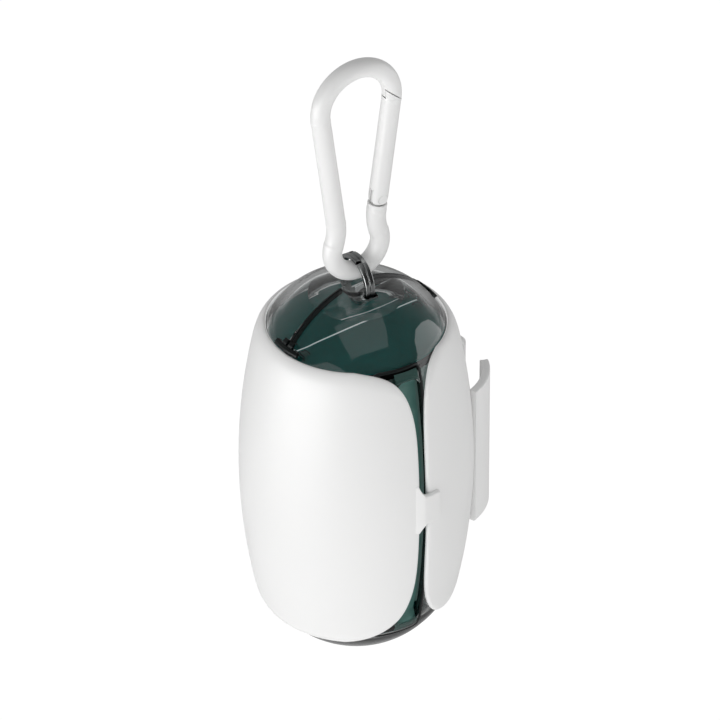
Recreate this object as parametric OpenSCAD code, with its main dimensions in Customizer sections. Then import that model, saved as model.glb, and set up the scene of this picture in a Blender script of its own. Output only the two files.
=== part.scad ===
// Dog waste bag dispenser: a two-part capsule in a soft sleeve, hung from a small snap hook by a split ring.
// The capsule's long axis is Z. The dispensing slot faces -Y, the leash channel +X, and the halves part at Y = 0.
// The origin is the inside top of the snap hook, where the dispenser hangs from a ring or a strap.

/* [Capsule] */
// Radius of the capsule at its waist
case_r = 23.8; // [22:0.1:26]
// Half the length of the capsule
case_half = 45.5; // [44:0.1:47]
// Radius of the nearly straight side
side_r = 150; // [120:1:220]
// Radius of the shoulder between side and end
shoulder_r = 19; // [18.6:0.1:19.3]
// Height of the shoulder's centre above the waist
shoulder_z = 26; // [25:0.1:27]
// Wall of the capsule
wall = 1.6; // [1.3:0.1:2]
// Length of the lip that overlaps the seam
lip = 0.5; // [0.3:0.1:0.7]
// Running gap at the seam
seam_gap = 0.15; // [0.1:0.01:0.2]

/* [Window] */
// Width of the window behind the slot
window_w = 6.2; // [5:0.1:7]
// Half the height of the window
window_half = 31.5; // [26:0.1:31.8]
// Radius of the window's corners
window_corner = 2.4; // [1:0.1:2.5]

/* [Roll chamber] */
// Half the height of the roll chamber between the two shelves
chamber_half = 32; // [31.5:0.1:33]
// Thickness of a shelf
shelf_t = 1.5; // [1.1:0.1:1.8]
// How much the rear shelf is set back, to pass the roll's seats as the case opens
rear_set_back = 0.6; // [0.5:0.1:0.8]
// Radius of the shoulder that a roll end turns on
seat_r = 6.2; // [6:0.1:6.6]
// Height of that shoulder
seat_h = 1.3; // [1:0.1:1.5]
// Length of the spigot inside the core
spigot_len = 4; // [3:0.1:6]

/* [Seam lugs] */
// Thickness of a lug
lug_t = 1.3; // [1:0.1:1.6]
// Height of a lug above the middle of the shelf
lug_h = 2.2; // [1.6:0.1:2.6]
// Reach of a lug from the seam
lug_len = 4; // [3:0.1:6]
// How deep a lug's top sits in the wall
lug_sunk = 0.4; // [0.2:0.1:0.8]
// Gap between a lug and the catch beside it
lug_gap = 0.6; // [0.4:0.1:1]
// Thickness and width of the catch
catch_t = 1.6; // [1.2:0.1:2]

/* [Bag roll] */
// Outer radius of the roll
roll_r = 15.5; // [12:0.1:16]
// Bore radius of the core
core_bore_r = 5.6; // [5:0.1:5.8]
// Wall of the core
core_wall = 0.9; // [0.6:0.1:1.2]
// Running gap round the core and at the ends of the roll
roll_gap = 0.35; // [0.2:0.05:0.5]

/* [Sleeve] */
// Thickness of the sleeve
sleeve_t = 1.2; // [1:0.1:1.5]
// Half the height of the sleeve
sleeve_half = 35.2; // [34.5:0.1:36]
// Gap between the sleeve and the capsule
sleeve_gap = 0.05; // [0.03:0.01:0.08]
// Width of the dispensing slot
slot_w = 1.9; // [1.5:0.1:2.4]
// Where the middle of the slot lies, to the right of the window's middle
slot_x = 1.35; // [0.5:0.05:1.8]
// Radius that each panel's corner turns with where the slot meets the rim
slot_corner = 10; // [7:0.5:11]

/* [Closing tab] */
// How far the tab that closes the slot rises above the waist
tab_high = 4.4; // [3:0.1:6]
// How far it reaches below the waist
tab_low = 3; // [2:0.1:5]
// How far it reaches past the slot
tab_reach = 3; // [2.5:0.1:4]
// Thickness of the tab
tab_t = 0.9; // [0.7:0.1:1.2]
// Radius of the tab's free corners
tab_round = 0.8; // [0.4:0.1:1.2]
// Radius of the fillet above the tab's root
tab_fillet = 1.8; // [1:0.1:2]
// Length of the bevel below the tab's root
tab_bevel = 1.6; // [0.8:0.1:2]
// Gap under the tab
tab_gap = 0.3; // [0.2:0.05:0.4]

/* [Leash channel] */
// Distance from the capsule's waist in to the middle of the channel's curve
channel_in = 7.8; // [6.8:0.1:8.8]
// Outer radius of the channel's curve
channel_r = 14.9; // [14.5:0.1:15.2]
// Thickness of a flap
flap_t = 1.8; // [1.5:0.1:2.2]
// Half the height of a flap
flap_half = 17; // [14:0.5:19]
// Width of the mouth between the two flaps
mouth_w = 7; // [6:0.1:9]
// Radius of the bead that a flap bends on
bead_r = 0.9; // [0.7:0.05:1]
// Gap round that bead
bead_gap = 0.12; // [0.1:0.01:0.2]
// Gap between a flap's root and the sleeve
flap_gap = 0.3; // [0.2:0.05:0.5]

/* [Split ring] */
// Inner radius of the split ring
ring_in_r = 4.85; // [4.7:0.05:5.2]
// Thickness of the ring's band
ring_t = 1; // [0.8:0.05:1.1]
// Width of the ring's two coils together
ring_w = 2.2; // [1.8:0.1:2.4]
// Gap between the ring and the capsule
ring_gap = 0.45; // [0.35:0.05:0.5]
// Gap left where a coil ends
ring_split = 0.35; // [0.2:0.05:0.6]

/* [Snap hook] */
// Radius of the hook's rod
rod_r = 2.1; // [1.9:0.05:2.2]
// Radius of the rod's middle line round the top
top_r = 8.75; // [8:0.05:10]
// Radius of the rod's middle line round the foot
foot_r = 5.9; // [5.5:0.05:6.5]
// Distance between the two centres
hook_span = 35.5; // [33:0.1:40]
// Half the distance between the rod's middle lines at the waist
waist_half = 4.9; // [4.6:0.05:5.2]
// Radius of the waist's curve
waist_r = 12; // [9:0.5:14]
// Gap between the rod and the top of the ring
rod_gap = 0.2; // [0.15:0.05:0.3]

/* [Gate] */
// Height of the gate's upper joint above the centre of the hook's top
joint_up = 0.2; // [-2:0.1:0.3]
// Slant of that joint
joint_slant = 40; // [10:1:42]
// Distance from the start of the waist's curve up to the gate's pivot
pivot_up = 3.2; // [3:0.1:4]
// Thickness of the tongues that enter the gate
tongue_t = 1.3; // [1.1:0.1:1.4]
// Gap between gate and hook
gate_gap = 0.25; // [0.15:0.05:0.35]
// Radius of the gate's rivet
rivet_r = 0.6; // [0.5:0.05:0.7]
// Radius of the rivet's heads
rivet_head_r = 1.05; // [0.9:0.05:1.2]
// Bore of the spring chamber in the gate
spring_bore_r = 1.2; // [1.1:0.05:1.3]
// Wire radius of the gate spring
spring_wire_r = 0.2; // [0.15:0.01:0.22]
// Turns of the gate spring
spring_turns = 9; // [6:1:12]

/* [Hidden] */

fine = 96;
eps = 0.01;
big = 200;
side_x = case_r - side_r;
shoulder_x = sqrt(pow(side_r - shoulder_r, 2) - pow(shoulder_z, 2)) + side_x;
drop = shoulder_z - case_half;
cap_r = (pow(shoulder_r, 2) - pow(shoulder_x, 2) - pow(drop, 2)) / (2 * (drop + shoulder_r));
cap_z = case_half - cap_r;
side_angle = atan2(shoulder_z, shoulder_x - side_x);
cap_angle = atan2(shoulder_z - cap_z, shoulder_x);

ring_mid_r = ring_in_r + ring_t / 2;
ring_z = case_half + 0.2;
foot_z = ring_z + ring_in_r - rod_gap - rod_r + foot_r;
top_z = foot_z + hook_span;
hang_z = top_z + top_r - rod_r;

waist_x = waist_half + waist_r;
waist_z = foot_z + sqrt(pow(foot_r + waist_r, 2) - pow(waist_x, 2));
span_x = waist_x;
span_z = top_z - waist_z;
lean = asin((top_r + waist_r) / norm([span_x, span_z])) - atan2(span_x, span_z);
waist_turn = atan2(waist_z - foot_z, waist_x);
line_low = [waist_x - waist_r * cos(lean), waist_z + waist_r * sin(lean)];
line_high = [top_r * cos(lean), top_z - top_r * sin(lean)];
line_len = norm(line_high - line_low);
nose_len = 1.6;
crown_r = 2.8;
crown_z = case_half - wall - 1.3;
butt = 0.1;
tongue_half = 1.3;
heel_lap = 0.6;
fork_up = norm([tongue_half, tongue_half]) + gate_gap;
bore_len = line_len - pivot_up - 4;
plunger_low = tongue_half + gate_gap + 0.05;
plunger_len = 3.4;
spring_low = plunger_low + plunger_len + 0.05;
spring_high = bore_len - 0.1;
spring_mid_r = spring_bore_r - spring_wire_r - 0.1;
spring_steps = 12;
spring_sides = 6;

sleeve_in = sleeve_gap;
sleeve_out = sleeve_gap + sleeve_t;
slot_left = slot_x - slot_w / 2;
slot_right = slot_x + slot_w / 2;
front_y = lip;
rear_y = lip + seam_gap;
lip_turn = asin(lip / case_r);
lip_z = 39;
tab_root = slot_left + 0.1;
tab_end = slot_right + tab_reach;
channel_x = case_r - channel_in;
channel_mid_r = channel_r - flap_t / 2;
bead_away = case_r + sleeve_in + bead_r + 0.05;
bead_x = (pow(bead_away, 2) - pow(channel_mid_r, 2) + pow(channel_x, 2)) / (2 * channel_x);
bead_y = sqrt(pow(bead_away, 2) - pow(bead_x, 2));
free_angle = asin((mouth_w / 2 + flap_t / 2) / channel_mid_r);
bead_angle = atan2(bead_y, bead_x - channel_x);
roll_half = chamber_half - seat_h - roll_gap;
lug_x = reach(chamber_half + shelf_t / 2 + lug_h, -wall) + lug_sunk - lug_t;

// Heights where the side, the shoulder and the end cap meet on the outline that lies t outside the capsule
function side_top(t) = (side_r + t) * sin(side_angle);
function cap_low(t) = cap_z + (cap_r + t) * sin(cap_angle);

// Radius of that outline at height z
function reach(z, t) = z < side_top(t) ? side_x + sqrt(pow(side_r + t, 2) - pow(z, 2))
    : z < cap_low(t) ? shoulder_x + sqrt(pow(shoulder_r + t, 2) - pow(z - shoulder_z, 2))
    : sqrt(pow(cap_r + t, 2) - pow(z - cap_z, 2));

// Puts what is built round the capsule's centre under the hanging point
module hung() translate([0, 0, -hang_z]) children();

// Half outline of the capsule, grown by t
module half_outline(t) {
    for (s = [1, -1]) scale([1, s]) {
        intersection() {
            translate([side_x, 0]) circle(side_r + t, $fn = 720);
            square([big, side_top(t)]);
        }
        intersection() {
            union() {
                translate([shoulder_x, shoulder_z]) circle(shoulder_r + t, $fn = 180);
                square([shoulder_x, cap_low(t)]);
            }
            translate([0, side_top(t)]) square([big, cap_low(t) - side_top(t)]);
        }
        intersection() {
            translate([0, cap_z]) circle(cap_r + t, $fn = 180);
            translate([0, cap_low(t)]) square(big);
        }
    }
}

// Everything in front of Y = y
module in_front(y) translate([-big / 2, y - big, -big / 2]) cube(big);

// Everything behind Y = y
module behind(y) translate([-big / 2, y, -big / 2]) cube(big);

// Upright rounded window, cut along Y
module window_cut() rotate([90, 0, 0]) linear_extrude(big / 4) {
    for (sx = [1, -1], sz = [1, -1])
        translate([sx * (window_w / 2 - window_corner), sz * (window_half - window_corner)])
            circle(window_corner, $fn = 48);
    square([window_w, 2 * (window_half - window_corner)], center = true);
    square([window_w - 2 * window_corner, 2 * window_half], center = true);
}

// Half outline of the capsule's wall with its two shelves, whose inner faces lie z0 from the waist
module wall_outline(z0) {
    difference() {
        half_outline(0);
        difference() {
            half_outline(-wall);
            for (s = [1, -1]) scale([1, s]) translate([0, z0]) square([big, chamber_half + shelf_t - z0]);
            translate([0, crown_z]) square([crown_r, big]);
        }
    }
}

// Round seats that carry the roll by its core, one on each shelf
module roll_seats() for (s = [1, -1]) scale([1, 1, s]) {
    translate([0, 0, chamber_half - seat_h]) cylinder(seat_h, r = seat_r, $fn = 64);
    intersection() {
        translate([0, 0, chamber_half - seat_h / 2]) cylinder((seat_h + shelf_t) / 2, r = seat_r, $fn = 64);
        in_front(0);
    }
    translate([0, 0, chamber_half - seat_h - spigot_len])
        cylinder(spigot_len + eps, r = core_bore_r - roll_gap, $fn = 64);
}

// Lugs beside the seam that catch each other when the case is closed
module seam_lugs(y0, y1) for (sx = [1, -1], sz = [1, -1]) scale([sx, 1, sz]) {
    translate([lug_x, y0, chamber_half + shelf_t / 2]) cube([lug_t, y1 - y0, lug_h]);
    translate([lug_x - lug_gap - catch_t, (y0 + y1 - catch_t) / 2, chamber_half + shelf_t / 2])
        cube([catch_t, catch_t, lug_h - 0.6]);
}
// Room that the ring turns in
module ring_room() translate([0, 0, ring_z]) rotate([0, 90, 0]) rotate_extrude($fn = 64)
    translate([ring_in_r - ring_gap, -ring_w / 2 - ring_gap])
        square([ring_t + 2 * ring_gap, ring_w + 2 * ring_gap]);

// Profile of the lip that overlaps the seam, from outer to inner, reaching z1 above and below the waist
module lip_outline(outer, inner, z1) intersection() {
    difference() {
        half_outline(outer);
        half_outline(inner);
    }
    translate([0, -z1]) square([big, 2 * z1]);
}

// Front half of the capsule, with the window, both front shelves and the roll's seats
module front_shell() hung() color([0.16, 0.25, 0.24, 0.6]) {
    difference() {
        rotate([0, 0, 180]) rotate_extrude(angle = 180, $fn = fine) wall_outline(chamber_half);
        window_cut();
        ring_room();
    }
    for (a = [-1, 180 - lip_turn]) rotate([0, 0, a])
        rotate_extrude(angle = lip_turn + 1, $fn = fine) lip_outline(-0.02, -wall / 2, lip_z);
    roll_seats();
    seam_lugs(-lug_len, -seam_gap);
}

// Rear half of the capsule, with its set back shelves
module rear_shell() hung() color([0.16, 0.25, 0.24, 0.6]) {
    difference() {
        translate([0, seam_gap, 0]) difference() {
            rotate_extrude(angle = 180, $fn = fine) wall_outline(chamber_half + rear_set_back);
            for (a = [-1, 180 - lip_turn]) rotate([0, 0, a]) rotate_extrude(angle = lip_turn + 1, $fn = fine)
                lip_outline(1, -wall / 2 - seam_gap, lip_z + 0.3);
        }
        ring_room();
    }
    seam_lugs(rear_y, lug_len);
}

// Sleeve all the way round
module sleeve_tube() rotate_extrude($fn = fine) intersection() {
    difference() {
        half_outline(sleeve_out);
        half_outline(sleeve_in);
    }
    translate([0, -sleeve_half]) square([big, 2 * sleeve_half]);
}

// Outline of the slot, flared at both rims, as a cutter along Y
module slot_cut() rotate([90, 0, 0]) linear_extrude(big / 4) {
    translate([slot_left, -sleeve_half - 1]) square([slot_w, 2 * sleeve_half + 2]);
    for (s = [1, -1]) scale([1, s]) difference() {
        translate([slot_left - slot_corner, sleeve_half - slot_corner])
            square([slot_w + 2 * slot_corner, slot_corner + 1]);
        for (x = [slot_left - slot_corner, slot_right + slot_corner])
            translate([x, sleeve_half - slot_corner]) circle(slot_corner, $fn = 128);
    }
}

// Bead that a leash flap bends on, upright on the sleeve
module flap_bead(side) translate([bead_x, side * bead_y, 0])
    cylinder(2 * flap_half, r = bead_r, center = true, $fn = 48);

module sleeve_colour() color([0.93, 0.93, 0.93]) children();

// Panel in front, from the left seam to the slot
module sleeve_front_panel() hung() sleeve_colour() difference() {
    intersection() {
        sleeve_tube();
        in_front(front_y);
        translate([-big + slot_x, -big / 2, -big / 2]) cube(big);
    }
    slot_cut();
}

// Panel from the slot round to the leash channel, with the front flap's bead
module sleeve_side_panel() hung() sleeve_colour() difference() {
    union() {
        intersection() {
            sleeve_tube();
            in_front(front_y);
            translate([slot_x, -big / 2, -big / 2]) cube(big);
        }
        flap_bead(-1);
    }
    slot_cut();
}

// Panel round the back, with the rear flap's bead
module sleeve_rear_panel() hung() sleeve_colour() union() {
    translate([0, seam_gap, 0]) intersection() {
        sleeve_tube();
        behind(front_y);
    }
    flap_bead(1);
}

// Flap of the leash channel, curved over the leash, on the side of Y that is given
module leash_flap(side) hung() sleeve_colour() scale([1, side, 1]) translate([0, 0, -flap_half])
    linear_extrude(2 * flap_half) difference() {
        union() {
            intersection() {
                translate([channel_x, 0]) difference() {
                    circle(channel_r, $fn = 180);
                    circle(channel_r - flap_t, $fn = 180);
                }
                translate([channel_x, 0]) polygon([[0, 0], [30 * cos(free_angle), 30 * sin(free_angle)],
                    [30, 30], [30 * cos(bead_angle), 30 * sin(bead_angle)]]);
            }
            translate([channel_x + channel_mid_r * cos(free_angle), channel_mid_r * sin(free_angle)])
                circle(flap_t / 2, $fn = 48);
        }
        translate([bead_x, bead_y]) circle(bead_r + bead_gap, $fn = 48);
        circle(case_r + sleeve_out + flap_gap, $fn = 180);
    }

module leash_flap_front() leash_flap(-1);

module leash_flap_rear() leash_flap(1);

// Tab that bridges the slot and lies over the side panel, with a fillet above its root and a bevel below
module closure_tab() hung() sleeve_colour() intersection() {
    rotate_extrude($fn = fine) difference() {
        half_outline(sleeve_out + tab_gap + tab_t);
        half_outline(sleeve_out + tab_gap);
    }
    rotate([90, 0, 0]) linear_extrude(big / 4) difference() {
        union() {
            translate([tab_root, -tab_low]) square([tab_end - tab_round - tab_root, tab_low + tab_high]);
            translate([tab_root, tab_round - tab_low])
                square([tab_end - tab_root, tab_low + tab_high - 2 * tab_round]);
            for (z = [tab_round - tab_low, tab_high - tab_round])
                translate([tab_end - tab_round, z]) circle(tab_round, $fn = 32);
            translate([tab_root, tab_high]) square(tab_fillet);
            polygon([[tab_root, -tab_low], [tab_root, -tab_low - tab_bevel], [tab_root + tab_bevel, -tab_low]]);
        }
        translate([tab_root + tab_fillet, tab_high + tab_fillet]) circle(tab_fillet, $fn = 64);
    }
}

// Roll of bags wound on the core
module bag_roll() hung() color([0.22, 0.42, 0.38]) difference() {
    cylinder(2 * roll_half, r = roll_r, center = true, $fn = fine);
    cylinder(2 * roll_half + 1, r = core_bore_r + core_wall, center = true, $fn = 64);
}

// Card core of the roll
module roll_core() hung() color([0.72, 0.62, 0.46]) difference() {
    cylinder(2 * roll_half, r = core_bore_r + core_wall - 0.05, center = true, $fn = 64);
    cylinder(2 * roll_half + 1, r = core_bore_r, center = true, $fn = 64);
}

// One coil of the split ring, open at one end
module ring_coil(x, turn) translate([x, 0, ring_z]) rotate([turn, 0, 0]) rotate([0, 90, 0]) difference() {
    rotate_extrude($fn = fine) translate([ring_mid_r, 0]) square([ring_t, ring_w / 2 - 0.1], center = true);
    translate([-ring_mid_r, 0, 0]) cube([3, ring_split, ring_w], center = true);
}

// Split ring: two flat coils side by side, joined where the band crosses over
module split_ring() hung() color([0.32, 0.34, 0.34]) union() {
    ring_coil(ring_w / 4, -25);
    ring_coil(-ring_w / 4, 20);
    translate([0, 0, ring_z]) rotate([30, 0, 0]) rotate([0, 90, 0])
        rotate_extrude(angle = 40, $fn = fine) translate([ring_mid_r, 0])
            square([ring_t - 0.3, ring_w - 1.2], center = true);
}

// Bent piece of rod: r is its middle line's radius, from angle a0 over a1 degrees in the XZ plane
module bend(x, z, r, a0, a1) translate([x, 0, z]) rotate([90, 0, 0]) rotate([0, 0, a0 + asin(butt / r)])
    rotate_extrude(angle = a1 - 2 * asin(butt / r), $fn = 72) translate([r, 0]) circle(rod_r, $fn = 32);

// Straight piece of rod between two bends
module straight(len) translate([0, 0, butt]) cylinder(len - 2 * butt, r = rod_r, $fn = 32);

// Slight swell of the casting where two pieces of rod meet
module swell(p) translate([p[0], 0, p[1]]) sphere(rod_r + 0.06, $fn = 32);

// Places children on the right of the hook, with the origin where its waist ends and +Z up along its side
module on_line() translate([line_low[0], 0, line_low[1]]) rotate([0, lean, 0]) children();

// Places children with the origin on the gate's pivot and +Z along the gate
module at_pivot() on_line() translate([0, 0, pivot_up]) children();

// Block below the slanted joint at the top of the gate, moved by up, open for y within the middle
module below_joint(up, middle) translate([top_r, 0, top_z + joint_up]) rotate([0, joint_slant, 0])
    translate([-4.6, 0, up - 7]) for (s = [1, -1]) scale([1, s, 1])
        translate([0, middle, 0]) cube([9, 4, 7]);

// Snap hook without its gate
module carabiner_body() hung() color([0.9, 0.9, 0.9]) difference() {
    union() {
        bend(0, foot_z, foot_r, 180 - waist_turn, 180 + 2 * waist_turn);
        for (s = [1, -1]) scale([s, 1, 1]) {
            swell([foot_r * cos(waist_turn), foot_z + foot_r * sin(waist_turn)]);
            bend(waist_x, waist_z, waist_r, 180 - lean, lean + waist_turn);
        }
        scale([-1, 1, 1]) {
            swell(line_low);
            on_line() straight(line_len);
            swell(line_high);
        }
        difference() {
            bend(0, top_z, top_r, -lean, 180 + 2 * lean);
            below_joint(0, tongue_t / 2);
            below_joint(-nose_len, 0);
        }
        difference() {
            union() {
                swell(line_low);
                on_line() straight(pivot_up - rod_r + heel_lap);
            }
            at_pivot() sphere(rod_r + gate_gap, $fn = 32);
        }
        on_line() translate([-tongue_half, -tongue_t / 2, -1])
            cube([2 * tongue_half, tongue_t, 1 + pivot_up + tongue_half]);
    }
    at_pivot() rotate([90, 0, 0]) cylinder(10, r = rivet_r, center = true, $fn = 32);
}

// Gate: a bored rod with a round heel, slotted at both ends
module carabiner_gate() hung() color([0.9, 0.9, 0.9]) difference() {
    union() {
        at_pivot() cylinder(line_len - pivot_up - butt, r = rod_r, $fn = 32);
        at_pivot() sphere(rod_r, $fn = 32);
        intersection() {
            union() {
                swell(line_high);
                bend(0, top_z, top_r, -lean, 60);
            }
            below_joint(-gate_gap, 0);
        }
    }
    at_pivot() translate([-rod_r - 1, -tongue_t / 2 - gate_gap / 2, -rod_r - 1])
        cube([2 * rod_r + 2, tongue_t + gate_gap, rod_r + 1 + fork_up]);
    difference() {
        translate([top_r - 8, -tongue_t / 2 - gate_gap / 2, top_z - 8]) cube([16, tongue_t + gate_gap, 16]);
        below_joint(-nose_len - gate_gap, 0);
    }
    at_pivot() cylinder(bore_len, r = spring_bore_r, $fn = 32);
    at_pivot() rotate([90, 0, 0]) cylinder(10, r = rivet_r + 0.05, center = true, $fn = 32);
    for (s = [1, -1]) at_pivot() translate([0, s * rod_r, 0]) rotate([90, 0, 0])
        cylinder(0.9, r = rivet_head_r + 0.1, center = true, $fn = 32);
}

// Rivet that the gate turns on
module gate_rivet() hung() color([0.75, 0.75, 0.76]) at_pivot() rotate([90, 0, 0]) {
    cylinder(2 * rod_r - 0.5, r = rivet_r, center = true, $fn = 32);
    for (s = [1, -1]) translate([0, 0, s * (rod_r - 0.25)]) cylinder(0.3, r = rivet_head_r, center = true, $fn = 32);
}

// Plunger that the spring presses on the lower tongue
module gate_plunger() hung() color([0.6, 0.6, 0.6]) at_pivot() translate([0, 0, plunger_low])
    cylinder(plunger_len, r = spring_bore_r - 0.08, $fn = 32);

// Point on the spring's helix, and the wire's section round it
function coil_at(i) = [spring_mid_r * cos(360 * i / spring_steps), spring_mid_r * sin(360 * i / spring_steps),
    spring_low + spring_wire_r + (spring_high - spring_low - 2 * spring_wire_r) * i / (spring_steps * spring_turns)];
function coil_section(i) = [for (k = [0 : spring_sides - 1])
    let (a = 360 * i / spring_steps, b = 360 * k / spring_sides, c = coil_at(i))
    [c[0] + spring_wire_r * cos(b) * cos(a), c[1] + spring_wire_r * cos(b) * sin(a), c[2] + spring_wire_r * sin(b)]];

// Compression spring in the gate
module gate_spring() hung() color([0.6, 0.6, 0.6]) at_pivot() {
    n = spring_steps * spring_turns;
    m = spring_sides;
    polyhedron(points = [for (i = [0 : n]) each coil_section(i)],
        faces = concat([[for (k = [0 : m - 1]) k]], [[for (k = [m - 1 : -1 : 0]) n * m + k]],
            [for (i = [0 : n - 1], k = [0 : m - 1])
                [i * m + k, (i + 1) * m + k, (i + 1) * m + (k + 1) % m, i * m + (k + 1) % m]]), convexity = 10);
}

carabiner_body();
gate_rivet();
carabiner_gate();
gate_plunger();
gate_spring();
split_ring();
front_shell();
rear_shell();
sleeve_front_panel();
sleeve_side_panel();
sleeve_rear_panel();
closure_tab();
leash_flap_front();
leash_flap_rear();
bag_roll();
roll_core();
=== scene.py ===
"""Looks of the clip-on bag dispenser: soft white sleeve, smoked capsule, snap hook and split ring.

Sizes are in millimetres, from the capsule's middle, as in the solids. The slot faces -Y and Z is up.
"""

import math

import bmesh
import bpy
import numpy as np
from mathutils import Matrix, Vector


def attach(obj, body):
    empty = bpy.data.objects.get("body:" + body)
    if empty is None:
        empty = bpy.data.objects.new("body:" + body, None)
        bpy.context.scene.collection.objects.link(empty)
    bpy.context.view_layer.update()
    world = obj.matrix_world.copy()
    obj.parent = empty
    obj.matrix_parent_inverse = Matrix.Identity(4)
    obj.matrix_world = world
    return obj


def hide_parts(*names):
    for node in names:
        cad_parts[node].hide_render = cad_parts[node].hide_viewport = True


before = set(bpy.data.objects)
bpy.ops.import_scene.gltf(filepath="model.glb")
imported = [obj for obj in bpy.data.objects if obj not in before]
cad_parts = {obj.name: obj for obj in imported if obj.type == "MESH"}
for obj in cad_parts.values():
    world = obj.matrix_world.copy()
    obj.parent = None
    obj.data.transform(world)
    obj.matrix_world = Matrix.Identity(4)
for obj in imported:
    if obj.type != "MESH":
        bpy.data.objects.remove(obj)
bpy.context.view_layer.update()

# ---------------------------------------------------------------- sizes, as in the solids
CASE_R, CASE_HALF, SIDE_R = 23.8, 45.5, 150.0  # capsule at its waist, half its length, round of its sides
SHOULDER_R, SHOULDER_Z = 19.0, 26.0  # round of its shoulders, and the height of that round's middle
WALL, SHELF_T, CHAMBER = 1.6, 1.5, 32.0  # CHAMBER is how far the shelves lie from the waist
SLEEVE_IN, SLEEVE_OUT, SLEEVE_HALF = 0.05, 1.25, 35.2  # the sleeve's faces outside the capsule
SEAM_Y = 0.6  # where the sleeve's front and rear panels meet
RING_IN_R, RING_T, RING_W, RING_LIFT = 4.85, 1.0, 2.2, 0.2
ROD_R, ROD_GAP, FOOT_R, TOP_R, HOOK_SPAN = 2.1, 0.2, 5.9, 8.75, 35.5
CORE_R = 6.5
FILM_R, FILM_HALF = 17.0, 30.5  # loose film, fuller than the solid's 15.5
CHANNEL_X, CHANNEL_R, FLAP_T, FLAP_HALF, MOUTH_W = 16.0, 14.9, 1.8, 17.0, 7.0
BEAD_R, BEAD_GAP = 0.9, 0.05

SIDE_X = CASE_R - SIDE_R
SHOULDER_X = math.sqrt((SIDE_R - SHOULDER_R) ** 2 - SHOULDER_Z**2) + SIDE_X
DROP = SHOULDER_Z - CASE_HALF
CAP_R = (SHOULDER_R**2 - SHOULDER_X**2 - DROP**2) / (2 * (DROP + SHOULDER_R))
CAP_Z = CASE_HALF - CAP_R
SIDE_A = math.atan2(SHOULDER_Z, SHOULDER_X - SIDE_X)
CAP_A = math.atan2(SHOULDER_Z - CAP_Z, SHOULDER_X)
LEN_SIDE = SIDE_R * SIDE_A
LEN_SHOULDER = SHOULDER_R * (CAP_A - SIDE_A)
LEN_CAP = CAP_R * (math.pi / 2 - CAP_A)
LEN_ALL = LEN_SIDE + LEN_SHOULDER + LEN_CAP

RING_Z = CASE_HALF + RING_LIFT
FOOT_Z = RING_Z + RING_IN_R - ROD_GAP - ROD_R + FOOT_R
TOP_Z = FOOT_Z + HOOK_SPAN
HANG_Z = TOP_Z + TOP_R - ROD_R


# ---------------------------------------------------------------- the capsule's outline
def outline(s, t):
    """Radius, height and slope of the capsule's outline grown by t, at arc length s from the waist."""
    s = np.asarray(s, float)
    t = np.asarray(t, float)
    a = np.abs(s)
    phi = np.where(
        a < LEN_SIDE,
        a / SIDE_R,
        np.where(
            a < LEN_SIDE + LEN_SHOULDER,
            SIDE_A + (a - LEN_SIDE) / SHOULDER_R,
            CAP_A + (a - LEN_SIDE - LEN_SHOULDER) / CAP_R,
        ),
    )
    on_side = a < LEN_SIDE
    on_cap = a >= LEN_SIDE + LEN_SHOULDER
    cx = np.where(on_side, SIDE_X, np.where(on_cap, 0.0, SHOULDER_X))
    cz = np.where(on_side, 0.0, np.where(on_cap, CAP_Z, SHOULDER_Z))
    r = np.where(on_side, SIDE_R, np.where(on_cap, CAP_R, SHOULDER_R)) + t
    rho = cx + r * np.cos(phi)
    z = cz + r * np.sin(phi)
    return rho, np.sign(s) * z, np.sign(s) * phi


S_TABLE = np.linspace(0, LEN_ALL, 4001)


def arc_at(z, t):
    """Arc length at which the outline grown by t has height z."""
    zs = outline(S_TABLE + 1e-9, t)[1]
    return np.sign(z) * np.interp(np.abs(z), zs, S_TABLE)


def on_capsule(theta, s, t):
    """Point t outside the capsule at azimuth theta and arc length s, and the normal there."""
    rho, z, phi = outline(s, t)
    p = np.stack([rho * np.cos(theta), rho * np.sin(theta), z], -1)
    n = np.stack([np.cos(phi) * np.cos(theta), np.cos(phi) * np.sin(theta), np.sin(phi)], -1)
    return p, n


# how far the halves' joint is turned from the X axis, towards the front on the left
SEAM_TURN_SHELL = math.radians(5.5)
SHOULDER_DROP = 0.6  # the dome's shoulder is a little flatter than two arcs make it
DROP_R, DROP_Z, DROP_FADE = 15, 32, 6  # it starts at DROP_Z, is full DROP_FADE above, and fades inside DROP_R


def ease(u):
    """Smooth step from 0 to 1."""
    u = np.clip(u, 0, 1)
    return u * u * (3 - 2 * u)


def turned(theta):
    """Azimuth on the capsule after the joint's turn, which fades out towards the window."""
    return theta + SEAM_TURN_SHELL * np.cos(theta) ** 2


def shoulder_drop(rho, z):
    """How far the dome's shoulder lies below the plain outline."""
    return SHOULDER_DROP * ease(rho / DROP_R) * ease((np.abs(z) - DROP_Z) / DROP_FADE) * np.sign(z)


# ---------------------------------------------------------------- mesh helpers
def put(name, data):
    """New object of this data, in the scene."""
    ob = bpy.data.objects.new(name, data)
    bpy.context.scene.collection.objects.link(ob)
    return ob


def vertex_places(vertices):
    """Millimetres from the capsule's middle."""
    return np.array([v.co for v in vertices]) * 1000 + [0, 0, HANG_Z]


def metres(p):
    """Millimetres from the capsule's middle to the frame's metres."""
    return (p - [0, 0, HANG_Z]) * 0.001


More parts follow.
